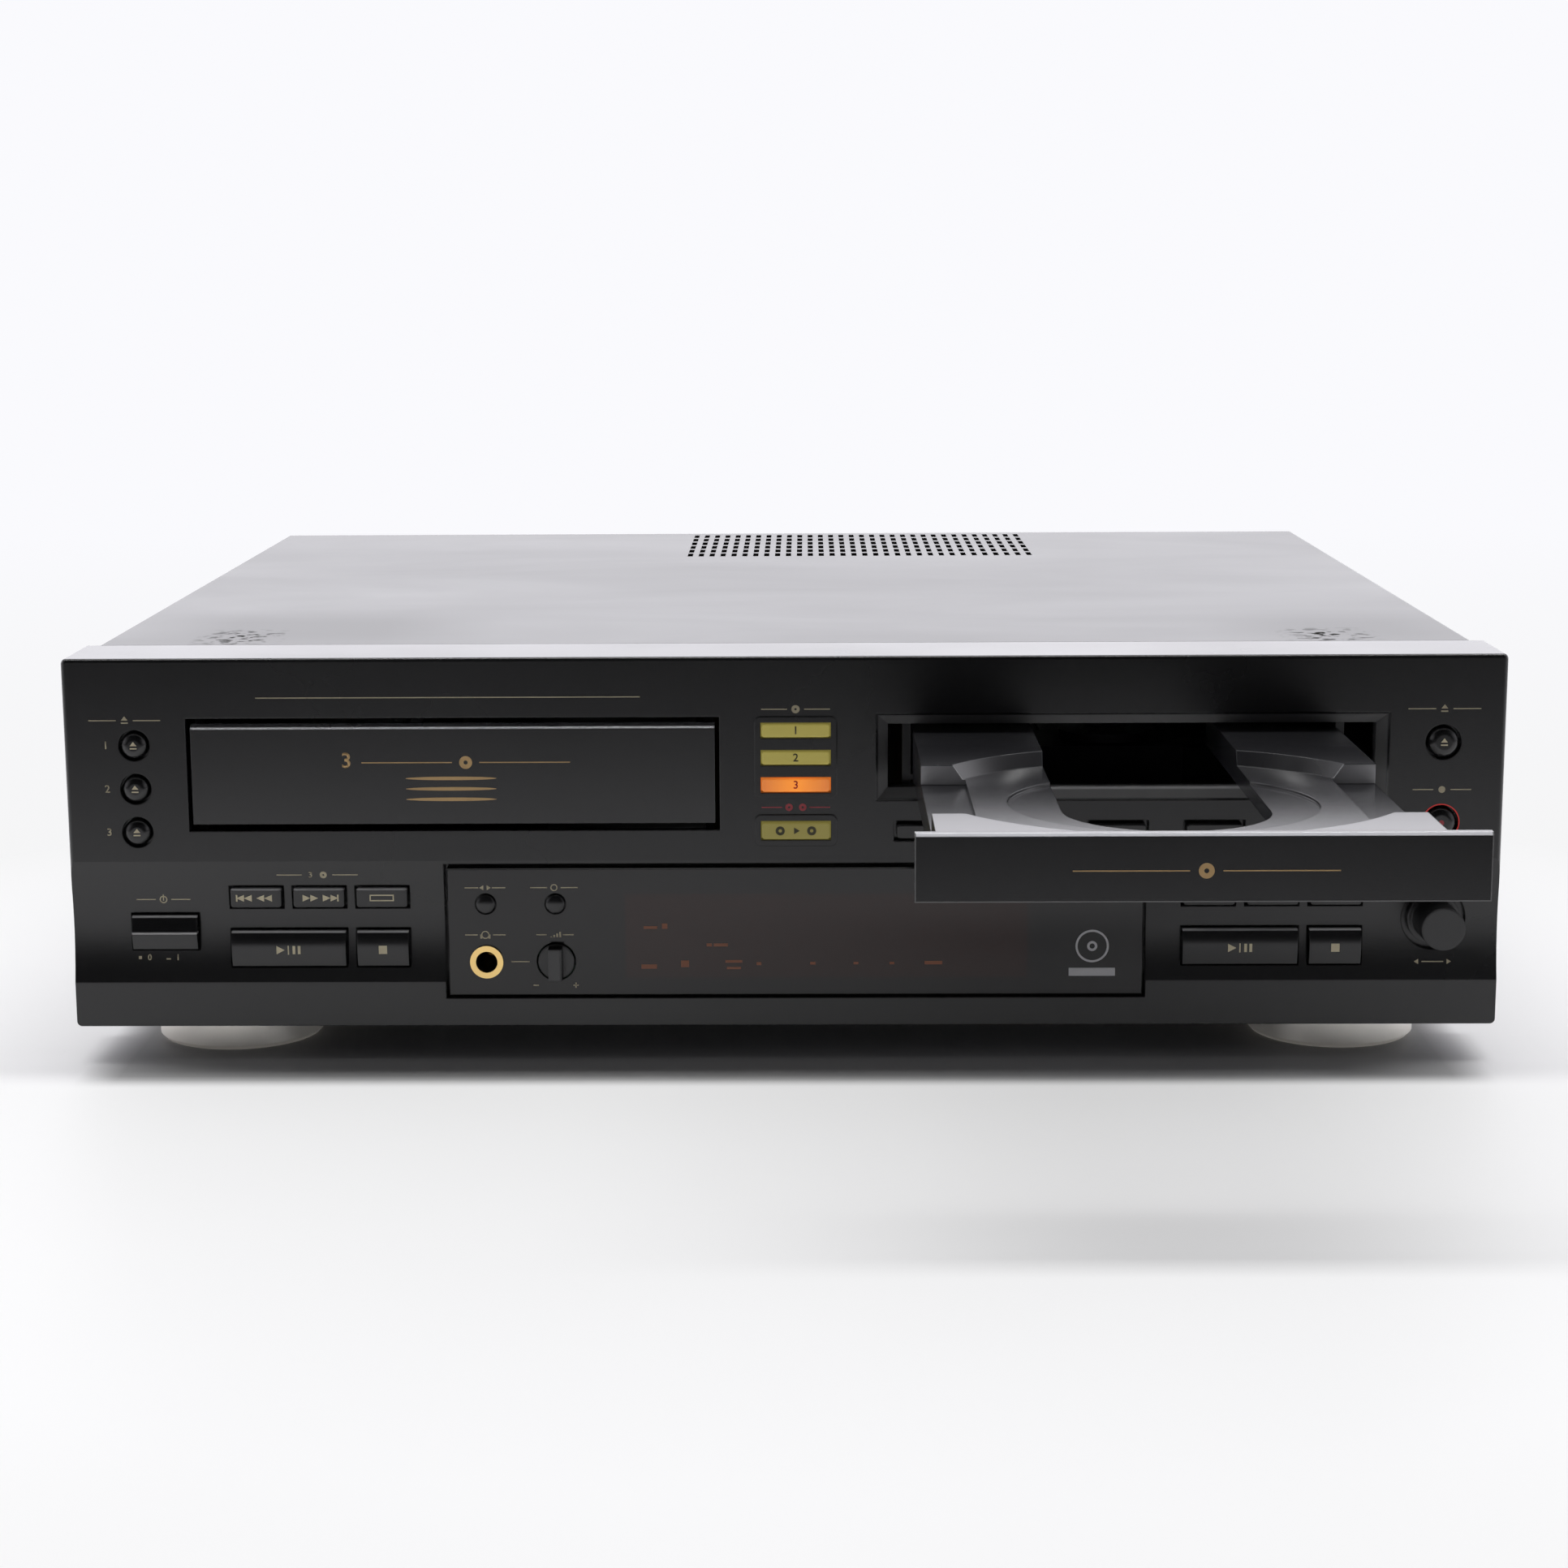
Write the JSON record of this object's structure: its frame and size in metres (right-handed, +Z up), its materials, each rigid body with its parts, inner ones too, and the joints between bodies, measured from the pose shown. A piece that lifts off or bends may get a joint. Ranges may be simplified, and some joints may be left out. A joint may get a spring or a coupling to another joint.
{
  "type": "multi disc cd changer",
  "caption": "Hi-fi disc changer and recorder in one wide case: a changer drawer behind a flush door, an open recorder tray, a display window, keys, a level knob and a jog knob.",
  "frame": {"origin": "on the floor under the feet, at the middle of the outline from the open recorder tray to the rear jacks", "axes": "+X to the right as seen from the front, +Y from the front panel to the rear, +Z up"},
  "size_m": [0.42, 0.5394, 0.1206],
  "materials": {
    "panel": "satin black moulded front",
    "window": "dark smoked window",
    "board": "green circuit board",
    "cover": "satin black folded sheet",
    "chassis": "plain plated sheet",
    "rear": "black painted sheet",
    "foot": "champagne satin foot",
    "screw": "black plated screw",
    "core": "laminated core with its winding",
    "socket": "socket with a gold plated ring",
    "socket_plate": "black socket plate",
    "inlet": "black inlet housing",
    "loader": "black moulded frame",
    "door": "satin black door",
    "drawer": "black moulded drawer",
    "tray": "black moulded tray",
    "turntable": "dark turntable",
    "pickup": "dark sled with a lens",
    "clamper": "white puck",
    "gear": "white moulded gear",
    "key": "satin black key",
    "knob": "satin black knob",
    "bar": "olive translucent bar",
    "lit_bar": "bar lit orange from behind"
  },
  "bodies": {
    "case": {"front_panel": "panel", "display_window": "window", "display_board": "board", "top_cover": "cover", "chassis_base": "chassis", "rear_panel": "rear", "feet": "foot", "case_screws": "screw", "transformer": "core", "main_board": "board", "phones_jack": "socket", "rear_jacks": "socket_plate", "power_inlet": "inlet", "changer_loader": "loader", "recorder_loader": "loader"},
    "changer_drawer": {"changer_drawer": "drawer", "changer_door": "door"},
    "recorder_tray": {"recorder_tray": "tray", "recorder_door": "door"},
    "changer_tray_1": {"changer_tray_1": "tray"},
    "changer_tray_2": {"changer_tray_2": "tray"},
    "changer_tray_3": {"changer_tray_3": "tray"},
    "changer_traverse": {"changer_traverse": "drawer"},
    "changer_turntable": {"changer_turntable": "turntable"},
    "changer_pickup": {"changer_pickup": "pickup"},
    "changer_clamper": {"changer_clamper": "clamper"},
    "recorder_traverse": {"recorder_traverse": "drawer"},
    "recorder_turntable": {"recorder_turntable": "turntable"},
    "recorder_pickup": {"recorder_pickup": "pickup"},
    "recorder_clamper": {"recorder_clamper": "clamper"},
    "recorder_tray_gear": {"recorder_tray_gear": "gear"},
    "open_key_1": {"open_key_1": "key"},
    "open_key_2": {"open_key_2": "key"},
    "open_key_3": {"open_key_3": "key"},
    "recorder_open_key": {"recorder_open_key": "key"},
    "record_mute_key": {"record_mute_key": "key"},
    "random_key": {"random_key": "key"},
    "play_mode_key": {"play_mode_key": "key"},
    "disc_bar_1": {"disc_bar_1": "bar"},
    "disc_bar_2": {"disc_bar_2": "bar"},
    "disc_bar_3": {"disc_bar_3": "lit_bar"},
    "copy_bar": {"copy_bar": "bar"},
    "function_key_1": {"function_key_1": "key"},
    "function_key_2": {"function_key_2": "key"},
    "function_key_3": {"function_key_3": "key"},
    "function_key_4": {"function_key_4": "key"},
    "function_key_5": {"function_key_5": "key"},
    "changer_back_key": {"changer_back_key": "key"},
    "changer_forward_key": {"changer_forward_key": "key"},
    "changer_display_key": {"changer_display_key": "key"},
    "changer_play_key": {"changer_play_key": "key"},
    "changer_stop_key": {"changer_stop_key": "key"},
    "recorder_record_key": {"recorder_record_key": "key"},
    "recorder_erase_key": {"recorder_erase_key": "key"},
    "recorder_finish_key": {"recorder_finish_key": "key"},
    "recorder_play_key": {"recorder_play_key": "key"},
    "recorder_stop_key": {"recorder_stop_key": "key"},
    "power_key": {"power_key": "key"},
    "level_knob": {"level_knob": "knob"},
    "jog_knob": {"jog_knob": "knob"}
  },
  "joints": [
    {"name": "changer_drawer_slide", "type": "slide", "parent": "case", "child": "changer_drawer", "axis": [0, -1, 0], "range_m": [0, 0.145]},
    {"name": "changer_tray_1_slide", "type": "slide", "parent": "changer_drawer", "child": "changer_tray_1", "axis": [0, 1, 0], "range_m": [0, 0.145]},
    {"name": "changer_tray_2_slide", "type": "slide", "parent": "changer_drawer", "child": "changer_tray_2", "axis": [0, 1, 0], "range_m": [0, 0.145]},
    {"name": "changer_tray_3_slide", "type": "slide", "parent": "changer_drawer", "child": "changer_tray_3", "axis": [0, 1, 0], "range_m": [0, 0.145]},
    {"name": "changer_lift", "type": "slide", "parent": "case", "child": "changer_traverse", "axis": [0, 0, 1], "range_m": [0, 0.026]},
    {"name": "recorder_lift", "type": "slide", "parent": "case", "child": "recorder_traverse", "axis": [0, 0, 1], "range_m": [0, 0.008]},
    {"name": "changer_turntable_spin", "type": "hinge", "parent": "changer_traverse", "child": "changer_turntable", "pos_m": [-0.0963, -0.04125, 0.0706], "axis": [0, 0, 1], "continuous": true},
    {"name": "recorder_turntable_spin", "type": "hinge", "parent": "recorder_traverse", "child": "recorder_turntable", "pos_m": [0.0998, -0.04425, 0.0876], "axis": [0, 0, 1], "continuous": true},
    {"name": "changer_pickup_slide", "type": "slide", "parent": "changer_traverse", "child": "changer_pickup", "axis": [0, 1, 0], "range_m": [0, 0.034]},
    {"name": "recorder_pickup_slide", "type": "slide", "parent": "recorder_traverse", "child": "recorder_pickup", "axis": [0, 1, 0], "range_m": [0, 0.034]},
    {"name": "changer_clamper_spin", "type": "hinge", "parent": "case", "child": "changer_clamper", "pos_m": [-0.0963, -0.04125, 0.1056], "axis": [0, 0, 1], "continuous": true},
    {"name": "recorder_clamper_spin", "type": "hinge", "parent": "case", "child": "recorder_clamper", "pos_m": [0.0998, -0.04425, 0.1046], "axis": [0, 0, 1], "continuous": true},
    {"name": "recorder_tray_slide", "type": "slide", "parent": "case", "child": "recorder_tray", "axis": [0, 1, 0], "range_m": [0, 0.159]},
    {"name": "recorder_gear_spin", "type": "hinge", "parent": "case", "child": "recorder_tray_gear", "pos_m": [0.0512, -0.09075, 0.0866], "axis": [0, 0, 1], "range_deg": [-1016, 4]},
    {"name": "open_1_press", "type": "slide", "parent": "case", "child": "open_key_1", "axis": [0, 1, 0], "range_m": [0, 0.0015], "stiffness_N_per_m": 400},
    {"name": "open_2_press", "type": "slide", "parent": "case", "child": "open_key_2", "axis": [0, 1, 0], "range_m": [0, 0.0015], "stiffness_N_per_m": 400},
    {"name": "open_3_press", "type": "slide", "parent": "case", "child": "open_key_3", "axis": [0, 1, 0], "range_m": [0, 0.0015], "stiffness_N_per_m": 400},
    {"name": "recorder_open_press", "type": "slide", "parent": "case", "child": "recorder_open_key", "axis": [0, 1, 0], "range_m": [0, 0.0015], "stiffness_N_per_m": 400},
    {"name": "record_mute_press", "type": "slide", "parent": "case", "child": "record_mute_key", "axis": [0, 1, 0], "range_m": [0, 0.0015], "stiffness_N_per_m": 400},
    {"name": "random_press", "type": "slide", "parent": "case", "child": "random_key", "axis": [0, 1, 0], "range_m": [0, 0.0015], "stiffness_N_per_m": 400},
    {"name": "play_mode_press", "type": "slide", "parent": "case", "child": "play_mode_key", "axis": [0, 1, 0], "range_m": [0, 0.0015], "stiffness_N_per_m": 400},
    {"name": "disc_bar_1_press", "type": "slide", "parent": "case", "child": "disc_bar_1", "axis": [0, 1, 0], "range_m": [0, 0.0015], "stiffness_N_per_m": 400},
    {"name": "disc_bar_2_press", "type": "slide", "parent": "case", "child": "disc_bar_2", "axis": [0, 1, 0], "range_m": [0, 0.0015], "stiffness_N_per_m": 400},
    {"name": "disc_bar_3_press", "type": "slide", "parent": "case", "child": "disc_bar_3", "axis": [0, 1, 0], "range_m": [0, 0.0015], "stiffness_N_per_m": 400},
    {"name": "copy_bar_press", "type": "slide", "parent": "case", "child": "copy_bar", "axis": [0, 1, 0], "range_m": [0, 0.0015], "stiffness_N_per_m": 400},
    {"name": "function_1_press", "type": "slide", "parent": "case", "child": "function_key_1", "axis": [0, 1, 0], "range_m": [0, 0.0015], "stiffness_N_per_m": 400},
    {"name": "function_2_press", "type": "slide", "parent": "case", "child": "function_key_2", "axis": [0, 1, 0], "range_m": [0, 0.0015], "stiffness_N_per_m": 400},
    {"name": "function_3_press", "type": "slide", "parent": "case", "child": "function_key_3", "axis": [0, 1, 0], "range_m": [0, 0.0015], "stiffness_N_per_m": 400},
    {"name": "function_4_press", "type": "slide", "parent": "case", "child": "function_key_4", "axis": [0, 1, 0], "range_m": [0, 0.0015], "stiffness_N_per_m": 400},
    {"name": "function_5_press", "type": "slide", "parent": "case", "child": "function_key_5", "axis": [0, 1, 0], "range_m": [0, 0.0015], "stiffness_N_per_m": 400},
    {"name": "changer_back_press", "type": "slide", "parent": "case", "child": "changer_back_key", "axis": [0, 1, 0], "range_m": [0, 0.0015], "stiffness_N_per_m": 400},
    {"name": "changer_forward_press", "type": "slide", "parent": "case", "child": "changer_forward_key", "axis": [0, 1, 0], "range_m": [0, 0.0015], "stiffness_N_per_m": 400},
    {"name": "changer_display_press", "type": "slide", "parent": "case", "child": "changer_display_key", "axis": [0, 1, 0], "range_m": [0, 0.0015], "stiffness_N_per_m": 400},
    {"name": "changer_play_press", "type": "slide", "parent": "case", "child": "changer_play_key", "axis": [0, 1, 0], "range_m": [0, 0.0015], "stiffness_N_per_m": 400},
    {"name": "changer_stop_press", "type": "slide", "parent": "case", "child": "changer_stop_key", "axis": [0, 1, 0], "range_m": [0, 0.0015], "stiffness_N_per_m": 400},
    {"name": "recorder_record_press", "type": "slide", "parent": "case", "child": "recorder_record_key", "axis": [0, 1, 0], "range_m": [0, 0.0015], "stiffness_N_per_m": 400},
    {"name": "recorder_erase_press", "type": "slide", "parent": "case", "child": "recorder_erase_key", "axis": [0, 1, 0], "range_m": [0, 0.0015], "stiffness_N_per_m": 400},
    {"name": "recorder_finish_press", "type": "slide", "parent": "case", "child": "recorder_finish_key", "axis": [0, 1, 0], "range_m": [0, 0.0015], "stiffness_N_per_m": 400},
    {"name": "recorder_play_press", "type": "slide", "parent": "case", "child": "recorder_play_key", "axis": [0, 1, 0], "range_m": [0, 0.0015], "stiffness_N_per_m": 400},
    {"name": "recorder_stop_press", "type": "slide", "parent": "case", "child": "recorder_stop_key", "axis": [0, 1, 0], "range_m": [0, 0.0015], "stiffness_N_per_m": 400},
    {"name": "power_press", "type": "slide", "parent": "case", "child": "power_key", "axis": [0, 1, 0], "range_m": [0, 0.0015], "stiffness_N_per_m": 400},
    {"name": "level_knob_turn", "type": "hinge", "parent": "case", "child": "level_knob", "pos_m": [-0.067, -0.11375, 0.0303], "axis": [0, 1, 0], "range_deg": [-135, 135]},
    {"name": "jog_knob_turn", "type": "hinge", "parent": "case", "child": "jog_knob", "pos_m": [0.1912, -0.11575, 0.0421], "axis": [0, 1, 0], "continuous": true}
  ],
  "couplings": [
    {"joint": "recorder_gear_spin", "follows": "recorder_tray_slide", "rad_per_m": -111.11}
  ]
}
